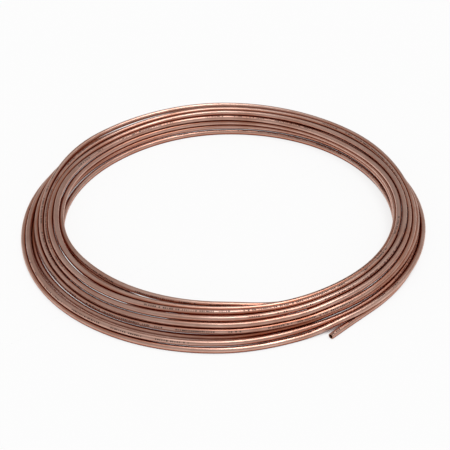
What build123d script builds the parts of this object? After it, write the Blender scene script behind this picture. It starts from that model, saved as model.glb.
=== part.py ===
# Coil of soft copper tube: 50 ft of quarter inch tube, wound loose and laid flat on the floor.
# The tube is one piece, open at both ends. It is swept along its centre line, which is laid turn by turn
# from the loose end at the front right inward to the end that lies hidden inside the bundle.
# Millimetres. The coil's axis is Z and the floor is Z = 0. Angles go round the axis from +X towards +Y,
# so the front of the coil, at -Y, is at 270 degrees.
import math
import os

from build123d import *

# The stock
TUBE_OD = 6.35
TUBE_WALL = 0.762
STOCK_LENGTH = 15240.0

# The coil: the clear radius of its middle, and the play between turns that lie against each other
COIL_INSIDE = 189.5
PLAY = 0.1
# The turns' middle stands this far from the axis, so that the coil's outline is centred on it
MIDDLE_RIGHT = -1.6
MIDDLE_BACK = -0.4

# The loose end: the run that is quite straight, how far round it ends, how many steps out, and its heading
STRAIGHT_END = 30.0
LOOSE_END_ANGLE = -61.8
LOOSE_END_OUT = 7.82
LOOSE_END_HEADING = 44.8

# Where each turn lies at places round the coil, the outermost turn first, as steps out and steps up.
# A step is one tube with its play; none out touches the clear middle and none up rests on the floor.
# The turns climb the outside of the bundle, cross its top and go down its inside.
RIGHT = [
    (6.64, 0), (7.21, 0.93), (6.19, 1), (6.1, 2.13), (5.43, 2.98), (4.48, 3.52), (3.62, 4.05),
    (2.61, 3.91), (2.17, 2.92), (2.21, 1.9), (2.31, 0.41), (3.43, 0),
]
BACK_RIGHT = [
    (6.64, 0), (7.18, 0.95), (6.16, 1.01), (6.87, 1.99), (6.48, 3.66), (5.17, 3.82), (3.93, 3.69),
    (3.07, 2.84), (3.4, 1.74), (3.83, 0.75), (3.09, 0),
]
BACK = [
    (6.79, 0), (6.9, 1.03), (5.85, 0.84), (6.56, 1.99), (6.19, 4), (4.48, 3.94), (3.21, 3.86),
    (2.47, 3.1), (2.5, 2), (2.47, 0.98), (2.03, 0),
]
BACK_LEFT = [
    (6.79, 0), (6.41, 0.98), (5.54, 0.25), (5.72, 1.83), (5.48, 3.29), (3.93, 3), (2.66, 2.83),
    (1.6, 2.59), (1.17, 1.66), (1.04, 0.67), (0.22, 0),
]
LEFT = [
    (6.72, 0), (5.72, 0.93), (5.07, 0), (4.39, 1.37), (3.45, 2.33), (2.41, 2.79), (1.57, 3.48),
    (0.58, 3.88), (-0.17, 2.52), (0.67, 1), (-0.1, 0),
]
FRONT_LEFT = [
    (7.43, 0), (7.21, 1.09), (5.31, 0.31), (4.52, 1.09), (4.13, 2.05), (3.46, 2.83), (2.81, 3.66),
    (1.69, 3.91), (0.02, 3.94), (0.13, 2.9), (0.28, 1.76),
]
FRONT = [
    (6.76, 0), (6.11, 0.89), (4.47, 0.75), (4.55, 2.07), (4.21, 3.06), (3.45, 3.79), (2.27, 4.1),
    (1.21, 4), (-0.01, 3.97), (1.06, 2.69), (1.45, 1.06),
]
NEAR_TAIL = [
    (6.03, 0.03), (5.1, 0.72), (4.11, 1.1), (4.48, 2.27), (4.21, 3.28), (3.41, 3.93), (2.33, 4.07),
    (1.32, 3.88), (0.52, 3.14), (1.49, 2.33), (1.69, 1.03),
]
OVER_TAIL = [
    (6.28, 1.01), (5.23, 0.89), (4.36, 1.6), (4.95, 2.83), (4.3, 3.68), (3.31, 3.99), (2.25, 4.08),
    (1.21, 3.69), (0.92, 2.7), (1.57, 1.83), (1.88, 0.84),
]
SIDES = [
    (0, RIGHT),
    (45, BACK_RIGHT),
    (90, BACK),
    (135, BACK_LEFT),
    (180, LEFT),
    (225, FRONT_LEFT),
    (270, FRONT),
    (291, NEAR_TAIL),
    (305, OVER_TAIL),
]

# The outermost turn on the floor where the second one lies over it, by its angle and its steps out
UNDER = [(-45, 6.34), (-20, 6.5)]
# A longer stock is laid as further turns round the outside, which come in to there past this place
COMING_IN = (305, 6.79)

# The last pair of arcs is at least this many degrees long
LEAST_SPAN = 8.0

STEP = TUBE_OD + PLAY
MIDDLE = Vector(MIDDLE_RIGHT, MIDDLE_BACK, 0)
LOOSE_HEADING = Vector(1, 0, 0).rotate(Axis.Z, LOOSE_END_HEADING)


def place(angle, out, up):
    """A place of the centre line: its angle, radius and height."""
    return angle, COIL_INSIDE + TUBE_OD / 2 + out * STEP, TUBE_OD / 2 + up * STEP


def outer_turn(count):
    """The places of a turn on the floor that lies this many turns outside the outermost one."""
    back = -360 * count
    places = [place(angle + back, out + count, 0) for angle, out in UNDER]
    places += [place(angle + back, table[0][0] + count, 0) for angle, table in SIDES[:-1]]
    angle, out = COMING_IN
    return places + [place(angle + back, out + count - 1, 0)]


def winding(outer_turns):
    """Every place of the centre line in turn, from the loose end to the innermost."""
    places = []
    for count in range(outer_turns, 0, -1):
        places += outer_turn(count)
    places += [place(angle, out, 0) for angle, out in UNDER]
    for turn in range(len(RIGHT)):
        for angle, table in SIDES:
            if turn < len(table):
                places.append(place(angle + 360 * turn, *table[turn]))
    return places


def slope(places, index):
    """How fast the radius grows with the angle as the line passes a place."""
    before = places[max(index - 1, 0)]
    after = places[min(index + 1, len(places) - 1)]
    return (after[1] - before[1]) / (after[0] - before[0])


def centre(places, angle):
    """The point of the centre line at an angle, counted on through every turn."""
    passed = [index for index, spot in enumerate(places[:-1]) if spot[0] <= angle]
    index = max(passed, default=0)
    here = places[index]
    there = places[index + 1]
    span = there[0] - here[0]
    part = (angle - here[0]) / span
    near = slope(places, index) * span
    far = slope(places, index + 1) * span
    change = there[1] - here[1]
    bend = (3 * change - 2 * near - far) * part**2 + (near + far - 2 * change) * part**3
    radius = here[1] + near * part + bend
    height = here[2] + (there[2] - here[2]) * (1 - math.cos(math.pi * part)) / 2
    turn = math.radians(angle)
    return MIDDLE + Vector(radius * math.cos(turn), radius * math.sin(turn), height)


def heading(places, angle):
    """The centre line's direction, towards the hidden end."""
    return (centre(places, angle + 0.01) - centre(places, angle - 0.01)).normalized()


def loose_run(places, outer_turns):
    """The straight run at the loose end, from its tip to where it begins to bend."""
    _, radius, height = place(LOOSE_END_ANGLE, LOOSE_END_OUT + outer_turns, 0)
    turn = math.radians(LOOSE_END_ANGLE)
    tip = MIDDLE + Vector(radius * math.cos(turn), radius * math.sin(turn), height)
    return tip, tip + LOOSE_HEADING * STRAIGHT_END


def lay_stock():
    """The winding, its outer turns for a longer stock, and the angle at which the stock is used up."""
    outer_turns = 0
    while True:
        places = winding(outer_turns)
        angle = places[0][0]
        root = loose_run(places, outer_turns)[1]
        left = STOCK_LENGTH - STRAIGHT_END - (centre(places, angle) - root).length
        while angle < places[-1][0]:
            pace = (centre(places, angle + 1) - centre(places, angle)).length
            if pace >= left:
                return places, outer_turns, angle + left / pace
            left -= pace
            angle += 1
        outer_turns += 1


def handover(start, start_heading, end, end_heading):
    """The point where the two arcs of a pair meet, each tangent to the line at its own end."""
    chord = end - start
    both = start_heading + end_heading
    square = 4 - both.dot(both)
    reach = (math.sqrt(chord.dot(both) ** 2 + square * chord.dot(chord)) - chord.dot(both)) / square
    return (start + end + (start_heading - end_heading) * reach) / 2


places, outer_turns, hidden_end_angle = lay_stock()
tip, root = loose_run(places, outer_turns)
angles = [spot[0] for spot in places if spot[0] < hidden_end_angle - LEAST_SPAN]
angles.append(hidden_end_angle)
ends = [(root, LOOSE_HEADING)]
ends += [(centre(places, angle), heading(places, angle)) for angle in angles]

with BuildPart() as copper_tube:
    with BuildLine() as centre_line:
        Line(tip, root)
        for (start, start_heading), (end, end_heading) in zip(ends, ends[1:]):
            middle = handover(start, start_heading, end, end_heading)
            arc = TangentArc(start, middle, tangent=start_heading)
            TangentArc(middle, end, tangent=arc % 1)
    with BuildSketch(Plane(origin=tip, z_dir=LOOSE_HEADING)):
        Circle(TUBE_OD / 2)
        Circle(TUBE_OD / 2 - TUBE_WALL, mode=Mode.SUBTRACT)
    sweep()

copper_tube.part.label = "copper_tube"
os.makedirs("parts", exist_ok=True)
export_step(copper_tube.part, "parts/copper_tube.step")
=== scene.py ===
"""Looks for a loose coil of soft copper tube: one drawn tube with printed ticks, on a plain studio floor."""

import math

import bmesh
import bpy
from mathutils import Matrix, Vector
from mathutils.geometry import interpolate_bezier


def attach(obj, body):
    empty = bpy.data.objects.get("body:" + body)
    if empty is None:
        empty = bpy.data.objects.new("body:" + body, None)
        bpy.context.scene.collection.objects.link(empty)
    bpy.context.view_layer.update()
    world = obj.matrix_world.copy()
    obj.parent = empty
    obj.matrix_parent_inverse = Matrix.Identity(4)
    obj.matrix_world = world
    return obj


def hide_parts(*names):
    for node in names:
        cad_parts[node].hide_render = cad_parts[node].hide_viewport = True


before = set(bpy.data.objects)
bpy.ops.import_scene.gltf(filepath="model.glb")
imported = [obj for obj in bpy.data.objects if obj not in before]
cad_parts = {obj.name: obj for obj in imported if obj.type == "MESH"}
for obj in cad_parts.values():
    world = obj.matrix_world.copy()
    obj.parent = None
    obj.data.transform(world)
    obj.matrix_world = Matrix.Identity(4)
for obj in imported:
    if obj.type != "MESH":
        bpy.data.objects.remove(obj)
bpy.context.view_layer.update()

bl_info = {
    "name": "Copper tube coil",
    "version": (1, 0, 0),
    "blender": (4, 5, 0),
    "location": "3D View > Sidebar > Tube coil",
    "description": "Winds a coil of soft copper tube with a drawn finish and sets it on a studio floor",
    "category": "Object",
}

# The clear radius of the coil's middle, one tube with the play to the next, and where the turns' middle
# stands, in metres
COIL_INSIDE = 0.1895
STEP = 0.00645
MIDDLE = Vector((-0.0016, -0.0004, 0.0))

# The loose end: the run that is quite straight, how far round it ends, how many steps out, and its heading
STRAIGHT_END = 0.03
LOOSE_END_ANGLE = -61.8
LOOSE_END_OUT = 7.82
LOOSE_END_HEADING = 44.8

# Where each turn lies at places round the coil, the outermost turn first, as steps out and steps up.
# The turns climb the outside of the bundle, cross its top and go down its inside.
RIGHT = [
    (6.64, 0), (7.21, 0.93), (6.19, 1), (6.1, 2.13), (5.43, 2.98), (4.48, 3.52), (3.62, 4.05),
    (2.61, 3.91), (2.17, 2.92), (2.21, 1.9), (2.31, 0.41), (3.43, 0),
]
BACK_RIGHT = [
    (6.64, 0), (7.18, 0.95), (6.16, 1.01), (6.87, 1.99), (6.48, 3.66), (5.17, 3.82), (3.93, 3.69),
    (3.07, 2.84), (3.4, 1.74), (3.83, 0.75), (3.09, 0),
]
BACK = [
    (6.79, 0), (6.9, 1.03), (5.85, 0.84), (6.56, 1.99), (6.19, 4), (4.48, 3.94), (3.21, 3.86),
    (2.47, 3.1), (2.5, 2), (2.47, 0.98), (2.03, 0),
]
BACK_LEFT = [
    (6.79, 0), (6.41, 0.98), (5.54, 0.25), (5.72, 1.83), (5.48, 3.29), (3.93, 3), (2.66, 2.83),
    (1.6, 2.59), (1.17, 1.66), (1.04, 0.67), (0.22, 0),
]
LEFT = [
    (6.72, 0), (5.72, 0.93), (5.07, 0), (4.39, 1.37), (3.45, 2.33), (2.41, 2.79), (1.57, 3.48),
    (0.58, 3.88), (-0.17, 2.52), (0.67, 1), (-0.1, 0),
]
FRONT_LEFT = [
    (7.43, 0), (7.21, 1.09), (5.31, 0.31), (4.52, 1.09), (4.13, 2.05), (3.46, 2.83), (2.81, 3.66),
    (1.69, 3.91), (0.02, 3.94), (0.13, 2.9), (0.28, 1.76),
]
FRONT = [
    (6.76, 0), (6.11, 0.89), (4.47, 0.75), (4.55, 2.07), (4.21, 3.06), (3.45, 3.79), (2.27, 4.1),
    (1.21, 4), (-0.01, 3.97), (1.06, 2.69), (1.45, 1.06),
]
NEAR_TAIL = [
    (6.03, 0.03), (5.1, 0.72), (4.11, 1.1), (4.48, 2.27), (4.21, 3.28), (3.41, 3.93), (2.33, 4.07),
    (1.32, 3.88), (0.52, 3.14), (1.49, 2.33), (1.69, 1.03),
]
OVER_TAIL = [
    (6.28, 1.01), (5.23, 0.89), (4.36, 1.6), (4.95, 2.83), (4.3, 3.68), (3.31, 3.99), (2.25, 4.08),
    (1.21, 3.69), (0.92, 2.7), (1.57, 1.83), (1.88, 0.84),
]
SIDES = [
    (0, RIGHT),
    (45, BACK_RIGHT),
    (90, BACK),
    (135, BACK_LEFT),
    (180, LEFT),
    (225, FRONT_LEFT),
    (270, FRONT),
    (291, NEAR_TAIL),
    (305, OVER_TAIL),
]
# The outermost turn where the second one lies over it, by its angle and its steps out
UNDER = [(-45, 6.34), (-20, 6.5)]

# How finely the tube is made: the length from ring to ring, in metres, and faces round the tube
RING_EVERY = 0.0105
FACES_ROUND = 24

# The photograph's view: how far the camera stands from the coil's middle, how high it looks down from,
# how wide it sees, and how far the middle of the coil lies off the middle of the picture
CAMERA_REACH = 1.45
CAMERA_HEIGHT_ANGLE = math.radians(35.2)
CAMERA_WIDTH_ANGLE = math.radians(21.18)
CAMERA_SHIFT = (0.0062, -0.0067)
FLOOR_SIZE = 40.0

# The printed line's ticks: how far apart they stand and how tall their row is, in metres, the least and
# greatest share of their column that they fill, the share of their row, and the share of them left out
PRINT_COLUMN = 0.0023
PRINT_ROW = 0.0019
TICK_WIDTHS = (0.20, 0.85)
TICK_HEIGHT = 0.80
TICKS_OUT = 0.16

# The ticks stand in batches of so many, of which this share is left out. The line starts again after so much
# tube, in metres, and fills this share of it.
BATCH_TICKS = 6.0
BATCHES_OUT = 0.2
PRINT_REPEAT = 0.61
PRINT_FILLED = 0.62

# The line stands this share of the way round the tube and swings by this share to each side, by so many
# radians for each metre of tube
PRINT_PLACE = 0.21
PRINT_SWING = 0.13
PRINT_PACE = 1.9

# How far off a turn still counts for the painted shade and painted reflection on the side of its neighbour,
# in metres. A spot is all painted dark shade or all painted copper red reflection where it is as open to the
# room as the first share says, and neither from the second share on.
GROOVE_REACH = 0.005
PAINTED_SHADE_OPENNESS = (0.25, 0.72)
PAINTED_REFLECTION_OPENNESS = (0.58, 1.0)

# The same for the painted shade on the floor of a gap: it is all painted brown shade at the first share, and
# white from the second one on
GAP_REACH = 0.03
PAINTED_GAP_SHADE_OPENNESS = (0.24, 0.33)

# Tints of the glancing light in the open and, as a painted reflection of the neighbour's copper, beside a
# neighbour turn, and the two colours that are mixed in the bore and on the cut ends
OPEN_GLANCE = (1.0, 0.92, 0.88, 1.0)
PAINTED_REFLECTION_GLANCE = (0.45, 0.09, 0.04, 1.0)
BORE_COLOURS = ((0.30, 0.14, 0.09, 1.0), (0.16, 0.07, 0.045, 1.0))
CUT_COLOURS = ((0.60, 0.34, 0.24, 1.0), (0.44, 0.23, 0.16, 1.0))

# The soft lamp leans this far to the right of straight overhead. The room turns to its darker far side
# between these shares of the way to the back. The floor glows by this share where it is seen, and the rest
# of it keeps the coil's shadow.
LAMP_LEAN = math.radians(14.0)
FAR_SIDE = (0.2, 0.9)
FLOOR_GLOW = 0.8


class TubeProperties(bpy.types.PropertyGroup):
    """Sizes and colours of the tube"""

    outside: bpy.props.FloatProperty(
        name="Outside diameter", description="Diameter over the tube's outside",
        default=0.00635, unit="LENGTH", subtype="DISTANCE", precision=5)
    wall: bpy.props.FloatProperty(
        name="Wall", description="Thickness of the tube's wall",
        default=0.000762, unit="LENGTH", subtype="DISTANCE", precision=6)
    length: bpy.props.FloatProperty(
        name="Length", description="Length of tube in the whole coil",
        default=15.24, unit="LENGTH", subtype="DISTANCE")
    copper: bpy.props.FloatVectorProperty(
        name="Copper", description="Colour of the clean drawn metal",
        default=(0.72, 0.47, 0.385), size=3, min=0.0, max=1.0, subtype="COLOR")
    tarnish: bpy.props.FloatVectorProperty(
        name="Tarnish", description="Colour of the thin oxide in patches along the tube",
        default=(0.50, 0.27, 0.20), size=3, min=0.0, max=1.0, subtype="COLOR")
    # Painted reflection: this colour is painted on the sides that face a neighbour turn, for the copper they
    # mirror
    painted_reflection: bpy.props.FloatVectorProperty(
        name="Sheltered", description="Colour of the sides that face a neighbour turn and mirror its copper",
        default=(0.58, 0.185, 0.09), size=3, min=0.0, max=1.0, subtype="COLOR")
    # Painted shade, not oxide or drawing oil: this colour darkens the grooves where the turns touch
    painted_groove_shade: bpy.props.FloatVectorProperty(
        name="Crevice", description="Colour of the dark oxide and drawing oil left where the turns touch",
        default=(0.15, 0.010, 0.003), size=3, min=0.0, max=1.0, subtype="COLOR")
    ink: bpy.props.FloatVectorProperty(
        name="Ink", description="Colour of the printed ticks",
        default=(0.05, 0.022, 0.018), size=3, min=0.0, max=1.0, subtype="COLOR")
    roughness: bpy.props.FloatProperty(
        name="Roughness", description="Roughness of the clean drawn metal",
        default=0.30, min=0.0, max=1.0, subtype="FACTOR")


class StageProperties(bpy.types.PropertyGroup):
    """Levels of the studio light"""

    surround: bpy.props.FloatProperty(
        name="Surround", description="Brightness of the room round the coil",
        default=0.52, min=0.0, max=2.0)
    backdrop: bpy.props.FloatProperty(
        name="Backdrop", description="Brightness of the room's far side, which the turns' tops mirror",
        default=0.36, min=0.0, max=2.0)
    lamp: bpy.props.FloatProperty(
        name="Lamp", description="Strength of the soft light overhead",
        default=1.6, min=0.0, max=20.0)
    lamp_width: bpy.props.FloatProperty(
        name="Lamp width", description="How wide the soft light looks from the coil",
        default=math.radians(34.0), subtype="ANGLE")
    floor: bpy.props.FloatVectorProperty(
        name="Floor", description="Colour of the floor",
        default=(0.90, 0.90, 0.90), size=3, min=0.0, max=1.0, subtype="COLOR")
    # Painted shade and painted copper reflection: the floor's colour and glow in the narrow gaps between
    # turns
    gap: bpy.props.FloatVectorProperty(
        name="Gap", description="Colour of the floor in the narrow gaps between turns, lit by copper alone",
        default=(0.13, 0.036, 0.018), size=3, min=0.0, max=1.0, subtype="COLOR")


def winding(tube):
    """The places that the centre line passes, from the loose end inwards: angle, radius and height."""
    placed = [(angle, out, 0) for angle, out in UNDER]
    for turn in range(len(RIGHT)):
        placed += [(angle + 360 * turn, *table[turn]) for angle, table in SIDES if turn < len(table)]
    foot = COIL_INSIDE + tube.outside / 2
    return [(angle, foot + out * STEP, tube.outside / 2 + up * STEP) for angle, out, up in placed]


def from_polar(angle, radius, height):
    """A point of the coil by its angle in degrees, radius and height."""
    turn = math.radians(angle)
    return MIDDLE + Vector((radius * math.cos(turn), radius * math.sin(turn), height))


def headings(places):
    """The centre line's direction at each place, level there, with the radius's growth eased over it."""
    directions = []
    for number, (angle, radius, _) in enumerate(places):
        before = places[max(number - 1, 0)]
        after = places[min(number + 1, len(places) - 1)]
        growth = math.degrees((after[1] - before[1]) / (after[0] - before[0]))
        turn = math.radians(angle)
        outward = Vector((math.cos(turn), math.sin(turn), 0.0))
        onward = Vector((-math.sin(turn), math.cos(turn), 0.0))
        directions.append((outward * growth + onward * radius).normalized())
    return directions


def bend(start, start_heading, end, end_heading):
    """Points of the near circular bend between two places, a ring apart, without the first."""
    chord = (end - start).length
    swing = start_heading.angle(end_heading)
    handle = chord / (3 * math.cos(swing / 4) ** 2)
    count = max(round(chord / RING_EVERY), 2)
    return interpolate_bezier(start, start + start_heading * handle, end - end_heading * handle, end,
                              count + 1)[1:]


def centre_line(tube):
    """The centre line's points from the loose end to where the stock is used up."""
    foot = COIL_INSIDE + tube.outside / 2
    tip = from_polar(LOOSE_END_ANGLE, foot + LOOSE_END_OUT * STEP, tube.outside / 2)
    turn = math.radians(LOOSE_END_HEADING)
    straight = Vector((math.cos(turn), math.sin(turn), 0.0))
    count = round(STRAIGHT_END / RING_EVERY)
    points = [tip + straight * STRAIGHT_END * number / count for number in range(count + 1)]
    places = winding(tube)
    ends = [(points[-1], straight)]
    ends += list(zip((from_polar(*place) for place in places), headings(places)))
    for (start, start_heading), (end, end_heading) in zip(ends, ends[1:]):
        points += bend(start, start_heading, end, end_heading)
    return cut_to_length(points, tube.length)


def cut_to_length(points, length):
    """The points up to the length of the stock, each with its distance along the tube."""
    line = [(points[0], 0.0)]
    for point in points[1:]:
        last, travelled = line[-1]
        pace = (point - last).length
        if travelled + pace >= length:
            line.append((last.lerp(point, (length - travelled) / pace), length))
            return line
        line.append((point, travelled + pace))
    raise RuntimeError("the winding is shorter than the stock")


def section_places(points):
    """Where the tube's round section stands: its X points outward, its Y up and its Z along the tube."""
    places = []
    for number, point in enumerate(points):
        along = (points[min(number + 1, len(points) - 1)] - points[max(number - 1, 0)]).normalized()
        side = along.cross(Vector((0.0, 0.0, 1.0))).normalized()
        up = side.cross(along)
        places.append(Matrix.LocRotScale(point, Matrix((side, up, along)).transposed(), None))
    return places


def wind_tube(tube):
    """The outside of the tube: a flat sheet of faces rolled to the tube's round and laid on the winding."""
    line = centre_line(tube)
    places = section_places([point for point, _ in line])
    rings = len(line) - 1
    bm = bmesh.new()
    uv = bm.loops.layers.uv.new("lengthwise")
    bmesh.ops.create_grid(bm, x_segments=rings, y_segments=FACES_ROUND, size=0.5, calc_uvs=True)
    for face in bm.faces:
        face.smooth = True
        for loop in face.loops:
            ring = round((loop.vert.co.x + 0.5) * rings)
            loop[uv].uv = (line[ring][1], round((loop.vert.co.y + 0.5) * FACES_ROUND) / FACES_ROUND)
    radius = tube.outside / 2
    for vert in bm.verts:
        ring = round((vert.co.x + 0.5) * rings)
        about = (vert.co.y + 0.5) * 2 * math.pi
        vert.co = places[ring] @ Vector((radius * math.cos(about), radius * math.sin(about), 0.0))
    bmesh.ops.remove_doubles(bm, verts=bm.verts, dist=radius / 100)
    bmesh.ops.recalc_face_normals(bm, faces=bm.faces)
    for edge in bm.edges:
        edge.smooth = not edge.is_boundary
    mesh = bpy.data.meshes.new("copper_tube_drawn")
    bm.to_mesh(mesh)
    bm.free()
    return mesh


def new_material(name):
    """An empty material with its node tree."""
    material = bpy.data.materials.new(name)
    material.use_nodes = True
    material.node_tree.nodes.clear()
    return material, material.node_tree


def add_node(tree, kind, settings=None, **values):
    """A node with its settings and the values or links of its input sockets, named in small letters."""
    node = tree.nodes.new(kind)
    for setting, value in (settings or {}).items():
        setattr(node, setting, value)
    for name, value in values.items():
        if name.startswith("in"):
            socket = node.inputs[int(name[2:])]
        else:
            socket = node.inputs[name.replace("_", " ").title()]
        if isinstance(value, bpy.types.NodeSocket):
            tree.links.new(value, socket)
        else:
            socket.default_value = value
    return node


def maths(tree, operation, *values):
    """A Math node's result."""
    inputs = {"in%d" % number: value for number, value in enumerate(values)}
    return add_node(tree, "ShaderNodeMath", {"operation": operation}, **inputs).outputs[0]


def eased(tree, value, low, high, to_low=0.0, to_high=1.0):
    """A value brought from one range to another, held at the ends."""
    return add_node(tree, "ShaderNodeMapRange", in0=value, in1=low, in2=high, in3=to_low,
                    in4=to_high).outputs[0]


def blend(tree, share, colour, other, how="MIX"):
    """Two colours mixed by a share."""
    return add_node(tree, "ShaderNodeMix", {"data_type": "RGBA", "blend_type": how}, in0=share,
                    in6=colour, in7=other).outputs[2]


def openness(tree, reach, samples):
    """How open a spot is to the room: one in the open, and less the more stands within reach of it."""
    return add_node(tree, "ShaderNodeAmbientOcclusion", {"samples": samples}, distance=reach).outputs["AO"]


def lengthwise(tree):
    """The distance along the tube and the share of the way round it."""
    uv = add_node(tree, "ShaderNodeUVMap", {"uv_map": "lengthwise"})
    split = add_node(tree, "ShaderNodeSeparateXYZ", in0=uv.outputs[0])
    return split.outputs[0], split.outputs[1]


def new_group(name, given, found):
    """An empty node group with its number inputs and outputs."""
    tree = bpy.data.node_groups.new(name, "ShaderNodeTree")
    for socket in given:
        tree.interface.new_socket(socket, in_out="INPUT", socket_type="NodeSocketFloat")
    for socket in found:
        tree.interface.new_socket(socket, in_out="OUTPUT", socket_type="NodeSocketFloat")
    return tree, add_node(tree, "NodeGroupInput").outputs


def tick_print(girth):
    """A node group with the mask of a printed line of plain ticks that wanders slowly round the tube.

    The girth is the way round the tube, in metres."""
    tree, given = new_group("tick_print", ("Along", "About"), ("Mask",))
    along, about = given[0], given[1]
    wander = maths(tree, "SINE", maths(tree, "MULTIPLY", along, PRINT_PACE))
    line = maths(tree, "MULTIPLY_ADD", wander, PRINT_SWING, PRINT_PLACE)
    column = maths(tree, "DIVIDE", along, PRINT_COLUMN)
    off_line = maths(tree, "SUBTRACT", about, line)
    row = maths(tree, "MULTIPLY_ADD", off_line, girth / PRINT_ROW, 0.5)
    cell = add_node(tree, "ShaderNodeCombineXYZ", in0=maths(tree, "FLOOR", column),
                    in1=maths(tree, "FLOOR", row)).outputs[0]
    chance = add_node(tree, "ShaderNodeTexWhiteNoise", {"noise_dimensions": "2D"}, vector=cell).outputs[0]
    inked = maths(tree, "GREATER_THAN", chance, TICKS_OUT)
    width = eased(tree, chance, 0.0, 1.0, *TICK_WIDTHS)
    wide = maths(tree, "LESS_THAN", maths(tree, "FRACT", column), width)
    tall = maths(tree, "LESS_THAN", maths(tree, "FRACT", row), TICK_HEIGHT)
    band = maths(tree, "LESS_THAN", maths(tree, "ABSOLUTE", maths(tree, "SUBTRACT", row, 0.5)), 0.5)
    batch = maths(tree, "FLOOR", maths(tree, "DIVIDE", column, BATCH_TICKS))
    kept = add_node(tree, "ShaderNodeTexWhiteNoise", {"noise_dimensions": "1D"}, w=batch).outputs[0]
    kept = maths(tree, "GREATER_THAN", kept, BATCHES_OUT)
    repeat = maths(tree, "FRACT", maths(tree, "DIVIDE", along, PRINT_REPEAT))
    stretch = maths(tree, "LESS_THAN", repeat, PRINT_FILLED)
    mask = inked
    for part in (wide, tall, band, kept, stretch):
        mask = maths(tree, "MULTIPLY", mask, part)
    add_node(tree, "NodeGroupOutput", in0=mask)
    return tree


def draw_lines():
    """A node group with the fine lines that drawing leaves along the tube, as a value round one half."""
    tree, given = new_group("draw_lines", ("Along", "About"), ("Lines",))
    turn = maths(tree, "MULTIPLY", given[1], 2 * math.pi)
    spot = add_node(tree, "ShaderNodeCombineXYZ", in0=maths(tree, "MULTIPLY", given[0], 9.0),
                    in1=maths(tree, "MULTIPLY", maths(tree, "COSINE", turn), 7.0),
                    in2=maths(tree, "MULTIPLY", maths(tree, "SINE", turn), 7.0)).outputs[0]
    lines = add_node(tree, "ShaderNodeTexNoise", vector=spot, scale=1.0, detail=4.0, roughness=0.7).outputs[0]
    add_node(tree, "NodeGroupOutput", in0=lines)
    return tree


def drawn_copper(tube):
    """Soft drawn copper with thin oxide in patches, fine draw lines, a broken line of printed ticks, a
    painted copper reflection on the sides facing a neighbour turn and painted shade in the grooves.
    """
    material, tree = new_material("drawn_copper")
    along, about = lengthwise(tree)
    coordinates = add_node(tree, "ShaderNodeTexCoord").outputs["Object"]
    lines = add_node(tree, "ShaderNodeGroup", {"node_tree": draw_lines()}, in0=along, in1=about).outputs[0]
    patches = add_node(tree, "ShaderNodeTexNoise", vector=coordinates, scale=26.0, detail=3.0,
                       roughness=0.6).outputs[0]
    lengths = add_node(tree, "ShaderNodeTexNoise", {"noise_dimensions": "1D"}, w=along, scale=2.6,
                       detail=2.0).outputs[0]
    stained = eased(tree, maths(tree, "MULTIPLY_ADD", lengths, 0.6, patches), 0.62, 1.05)
    metal = blend(tree, stained, (*tube.copper, 1.0), (*tube.tarnish, 1.0))
    # Painted reflection and painted shade: the sides of neighbour turns get a painted copper red reflection
    # of each other, and the grooves between them painted dark shade
    open_side = openness(tree, GROOVE_REACH, samples=8)
    painted_reflection = eased(tree, open_side, *PAINTED_REFLECTION_OPENNESS, 1.0, 0.0)
    metal = blend(tree, painted_reflection, metal, (*tube.painted_reflection, 1.0))
    # Painted shade: the grooves where the turns touch are painted dark red
    painted_groove_shade = eased(tree, open_side, *PAINTED_SHADE_OPENNESS, 1.0, 0.0)
    metal = blend(tree, painted_groove_shade, metal, (*tube.painted_groove_shade, 1.0))
    # Painted reflection: beside a neighbour turn the glancing tint is painted copper red
    edge_tint_with_painted_reflection = blend(tree, painted_reflection, OPEN_GLANCE, PAINTED_REFLECTION_GLANCE)
    # The draw lines streak the metal, and the ink lies over it
    streaks = eased(tree, lines, 0.30, 0.70, 0.86, 1.0)
    metal = blend(tree, 1.0, metal, add_node(tree, "ShaderNodeCombineXYZ", in0=streaks, in1=streaks,
                                             in2=streaks).outputs[0], "MULTIPLY")
    ink = add_node(tree, "ShaderNodeGroup", {"node_tree": tick_print(math.pi * tube.outside)}, in0=along,
                   in1=about).outputs[0]
    colour = blend(tree, ink, metal, (*tube.ink, 1.0))
    roughness = eased(tree, lines, 0.25, 0.75, tube.roughness - 0.05, tube.roughness + 0.09)
    roughness = maths(tree, "MULTIPLY_ADD", stained, 0.10, roughness)
    relief = add_node(tree, "ShaderNodeBump", strength=0.05, distance=0.0001, height=lines).outputs[0]
    metallic = maths(tree, "MULTIPLY_ADD", ink, -0.9, 1.0)
    shader = add_node(tree, "ShaderNodeBsdfPrincipled", base_color=colour, metallic=metallic,
                      roughness=roughness, specular_tint=edge_tint_with_painted_reflection, normal=relief)
    add_node(tree, "ShaderNodeOutputMaterial", in0=shader.outputs[0])
    return material


def oxidised_bore():
    """The dull dark inside of the tube."""
    material, tree = new_material("oxidised_bore")
    coordinates = add_node(tree, "ShaderNodeTexCoord").outputs["Object"]
    patches = add_node(tree, "ShaderNodeTexNoise", vector=coordinates, scale=300.0).outputs[0]
    colour = blend(tree, patches, *BORE_COLOURS)
    shader = add_node(tree, "ShaderNodeBsdfPrincipled", base_color=colour, metallic=0.8, roughness=0.6)
    add_node(tree, "ShaderNodeOutputMaterial", in0=shader.outputs[0])
    return material


def cut_copper():
    """The bright sawn face at each end of the tube."""
    material, tree = new_material("cut_copper")
    coordinates = add_node(tree, "ShaderNodeTexCoord").outputs["Object"]
    marks = add_node(tree, "ShaderNodeTexNoise", vector=coordinates, scale=2500.0).outputs[0]
    colour = blend(tree, marks, *CUT_COLOURS)
    shader = add_node(tree, "ShaderNodeBsdfPrincipled", base_color=colour, metallic=1.0, roughness=0.35)
    add_node(tree, "ShaderNodeOutputMaterial", in0=shader.outputs[0])
    return material


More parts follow.
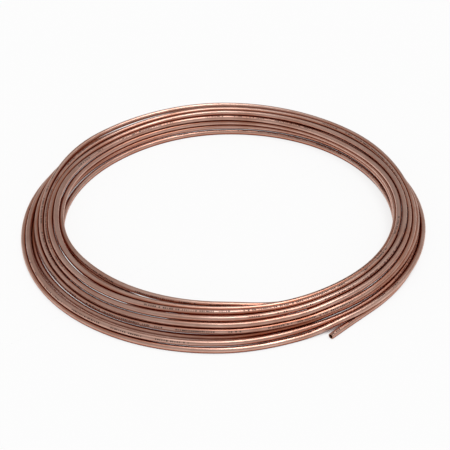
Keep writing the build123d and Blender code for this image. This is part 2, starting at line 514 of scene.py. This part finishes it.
class COIL_OT_add_tube(bpy.types.Operator):
    """Wind the copper tube and give it its finish"""

    bl_idname = "copper_coil.add_tube"
    bl_label = "Add the tube"

    def execute(self, context):
        tube = context.scene.copper_coil_tube
        mesh = wind_tube(tube)
        for material in (drawn_copper(tube), oxidised_bore(), cut_copper()):
            mesh.materials.append(material)
        piece = bpy.data.objects.new("copper_tube_drawn", mesh)
        context.scene.collection.objects.link(piece)
        wall = piece.modifiers.new("wall", "SOLIDIFY")
        wall.thickness = tube.wall
        wall.offset = -1.0
        wall.material_offset = 1
        wall.material_offset_rim = 2
        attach(piece, "root")
        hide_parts("copper_tube")
        return {"FINISHED"}


class COIL_OT_add_stage(bpy.types.Operator):
    """Set up the floor, the room's light, the soft lamp and the camera"""

    bl_idname = "copper_coil.add_stage"
    bl_label = "Add the stage"

    def execute(self, context):
        scene = context.scene
        stage = scene.copper_coil_stage
        self.add_floor(scene, stage)
        self.add_light(scene, stage)
        self.add_camera(scene)
        scene.view_settings.view_transform = "Standard"
        return {"FINISHED"}

    def add_floor(self, scene, stage):
        """A wide pale floor that glows where it is seen and keeps the coil's shadow, with painted brown shade
        and copper reflection in the narrow gaps between turns.
        """
        material, tree = new_material("pale_floor")
        clear = eased(tree, openness(tree, GAP_REACH, samples=16), *PAINTED_GAP_SHADE_OPENNESS)
        # Painted shade: the floor's colour is painted dark brown in the narrow gaps between turns
        colour = blend(tree, clear, (*stage.gap, 1.0), (*stage.floor, 1.0))
        matt = add_node(tree, "ShaderNodeBsdfDiffuse", color=colour).outputs[0]
        path = add_node(tree, "ShaderNodeLightPath").outputs
        seen = maths(tree, "MAXIMUM", path["Is Camera Ray"], path["Is Glossy Ray"])
        seen = maths(tree, "MAXIMUM", seen, path["Is Transmission Ray"])
        # Painted shade: the floor's glow is painted dark brown in the same gaps
        colour = blend(tree, clear, (*stage.gap, 1.0), (1.0, 1.0, 1.0, 1.0))
        glow = add_node(tree, "ShaderNodeEmission", color=colour, strength=1.0).outputs[0]
        share = maths(tree, "MULTIPLY", seen, FLOOR_GLOW)
        mixed = add_node(tree, "ShaderNodeMixShader", in0=share, in1=matt, in2=glow).outputs[0]
        add_node(tree, "ShaderNodeOutputMaterial", in0=mixed)
        bm = bmesh.new()
        bmesh.ops.create_grid(bm, x_segments=1, y_segments=1, size=FLOOR_SIZE / 2)
        mesh = bpy.data.meshes.new("studio_floor")
        bm.to_mesh(mesh)
        bm.free()
        mesh.materials.append(material)
        floor = bpy.data.objects.new("studio_floor", mesh)
        scene.collection.objects.link(floor)

    def add_light(self, scene, stage):
        """The room's level, a little darker at the far side, and the soft lamp overhead."""
        world = bpy.data.worlds.new("studio_room")
        world.use_nodes = True
        tree = world.node_tree
        direction = add_node(tree, "ShaderNodeTexCoord").outputs["Generated"]
        backward = add_node(tree, "ShaderNodeSeparateXYZ", in0=direction).outputs[1]
        near, far = stage.surround, stage.backdrop
        colour = blend(tree, eased(tree, backward, *FAR_SIDE), (near, near, near, 1.0), (far, far, far, 1.0))
        tree.links.new(colour, tree.nodes["Background"].inputs[0])
        scene.world = world
        lamp = bpy.data.lights.new("soft_lamp", "SUN")
        lamp.energy = stage.lamp
        lamp.angle = stage.lamp_width
        light = bpy.data.objects.new("soft_lamp", lamp)
        light.rotation_euler = (0.0, LAMP_LEAN, 0.0)
        scene.collection.objects.link(light)

    def add_camera(self, scene):
        """The photograph's view."""
        camera = bpy.data.cameras.new("photo_view")
        camera.sensor_fit = "HORIZONTAL"
        camera.angle = CAMERA_WIDTH_ANGLE
        camera.shift_x, camera.shift_y = CAMERA_SHIFT
        camera.clip_end = 100.0
        viewer = bpy.data.objects.new("photo_view", camera)
        viewer.location = MIDDLE + CAMERA_REACH * Vector((0.0, -math.cos(CAMERA_HEIGHT_ANGLE),
                                                          math.sin(CAMERA_HEIGHT_ANGLE)))
        viewer.rotation_euler = (math.pi / 2 - CAMERA_HEIGHT_ANGLE, 0.0, 0.0)
        scene.collection.objects.link(viewer)
        scene.camera = viewer


class COIL_PT_panel(bpy.types.Panel):
    """Sizes, colours and steps of the coil"""

    bl_label = "Copper tube coil"
    bl_idname = "COIL_PT_panel"
    bl_space_type = "VIEW_3D"
    bl_region_type = "UI"
    bl_category = "Tube coil"

    def draw(self, context):
        for group in (context.scene.copper_coil_tube, context.scene.copper_coil_stage):
            for name in group.__annotations__:
                self.layout.prop(group, name)
        self.layout.operator(COIL_OT_add_tube.bl_idname)
        self.layout.operator(COIL_OT_add_stage.bl_idname)


CLASSES = (TubeProperties, StageProperties, COIL_OT_add_tube, COIL_OT_add_stage, COIL_PT_panel)


def register():
    for cls in CLASSES:
        bpy.utils.register_class(cls)
    bpy.types.Scene.copper_coil_tube = bpy.props.PointerProperty(type=TubeProperties)
    bpy.types.Scene.copper_coil_stage = bpy.props.PointerProperty(type=StageProperties)


def unregister():
    del bpy.types.Scene.copper_coil_stage
    del bpy.types.Scene.copper_coil_tube
    for cls in reversed(CLASSES):
        bpy.utils.unregister_class(cls)


def main():
    """Register the add-on, then make every piece in order: the tube, then the stage."""
    register()
    bpy.ops.copper_coil.add_tube()
    bpy.ops.copper_coil.add_stage()


if __name__ == "__main__":
    main()
